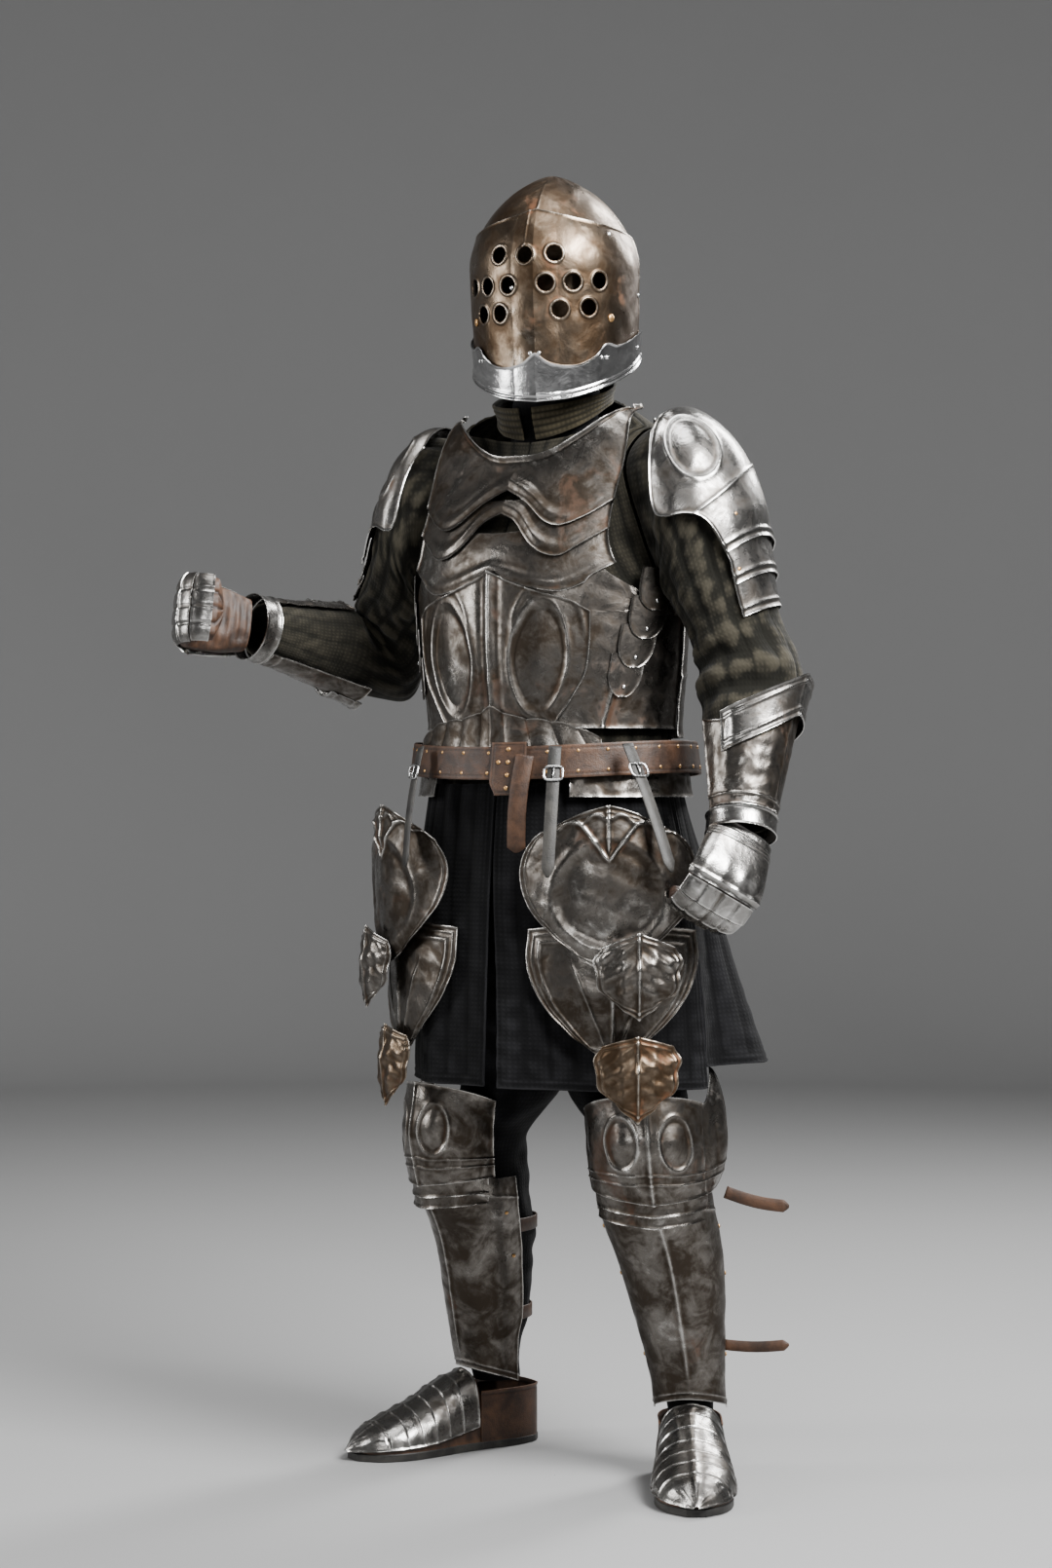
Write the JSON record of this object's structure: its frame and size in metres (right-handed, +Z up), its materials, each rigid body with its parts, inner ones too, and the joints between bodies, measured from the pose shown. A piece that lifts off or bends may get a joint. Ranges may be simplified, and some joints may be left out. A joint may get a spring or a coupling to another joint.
{
  "type": "suit of plate armour",
  "caption": "Suit of worn plate armour over quilted arming clothes, standing hollow in its wearer's pose, with a pierced close helmet, shaped tassets and a right fist curled to hold a shaft.",
  "frame": {"origin": "on the shoulder line, midway between the shoulders, 1.46 m above the soles", "axes": "+Z up, -Y toward the front of the torso, +X toward the wearer's left"},
  "size_m": [0.8581, 0.5474, 1.871],
  "materials": {
    "plate_steel": "worn steel with a dark brown patina, polished on its ridges",
    "bright_steel": "polished steel, lightly scratched",
    "rusty_steel": "browned steel with fine rust",
    "quilt": "quilted dark olive-grey cloth, matte",
    "black_cloth": "black quilted cloth, matte",
    "olive_cloth": "olive-brown quilted cloth, matte",
    "leather": "brown leather, worn",
    "dark_leather": "dark leather, worn"
  },
  "bodies": {
    "root": {"backplate": "plate_steel", "belt": "leather", "belt_tongue": "leather", "breast_lame_1": "plate_steel", "breast_lame_2": "plate_steel", "breast_top": "plate_steel", "breastplate": "plate_steel", "coat_back": "quilt", "coat_front_left": "quilt", "coat_front_right": "quilt", "collar": "olive_cloth", "couter_left": "plate_steel", "couter_right": "plate_steel", "fauld_lame": "plate_steel", "gauntlet_left": "bright_steel", "gauntlet_right": "bright_steel", "glove_left": "leather", "glove_right": "leather", "greave_left": "plate_steel", "greave_right": "plate_steel", "greave_strap_left_lower": "leather", "greave_strap_left_upper": "leather", "helmet_band": "bright_steel", "helmet_skull": "rusty_steel", "helmet_visor": "rusty_steel", "hose_left": "black_cloth", "hose_right": "black_cloth", "neck_cloth": "black_cloth", "pauldron_lame_1_left": "plate_steel", "pauldron_lame_1_right": "plate_steel", "pauldron_lame_2_left": "plate_steel", "pauldron_lame_2_right": "plate_steel", "pauldron_left": "plate_steel", "pauldron_right": "plate_steel", "plackart": "plate_steel", "poleyn_left": "plate_steel", "poleyn_right": "plate_steel", "sabaton_left": "plate_steel", "sabaton_right": "plate_steel", "shoe_left": "leather", "shoe_right": "leather", "skirt_back": "black_cloth", "skirt_front_left": "black_cloth", "skirt_front_right": "black_cloth", "sleeve_left": "quilt", "sleeve_right": "quilt", "tasset_leaf_lower_left": "rusty_steel", "tasset_leaf_lower_right": "rusty_steel", "tasset_leaf_upper_left": "plate_steel", "tasset_leaf_upper_right": "plate_steel", "tasset_lower_left": "plate_steel", "tasset_lower_right": "plate_steel", "tasset_strap_left_inner": "dark_leather", "tasset_strap_left_outer": "dark_leather", "tasset_strap_right": "dark_leather", "tasset_upper_left": "plate_steel", "tasset_upper_right": "plate_steel", "vambrace_left": "plate_steel", "vambrace_right": "plate_steel", "waist_band": "plate_steel"}
  },
  "joints": []
}
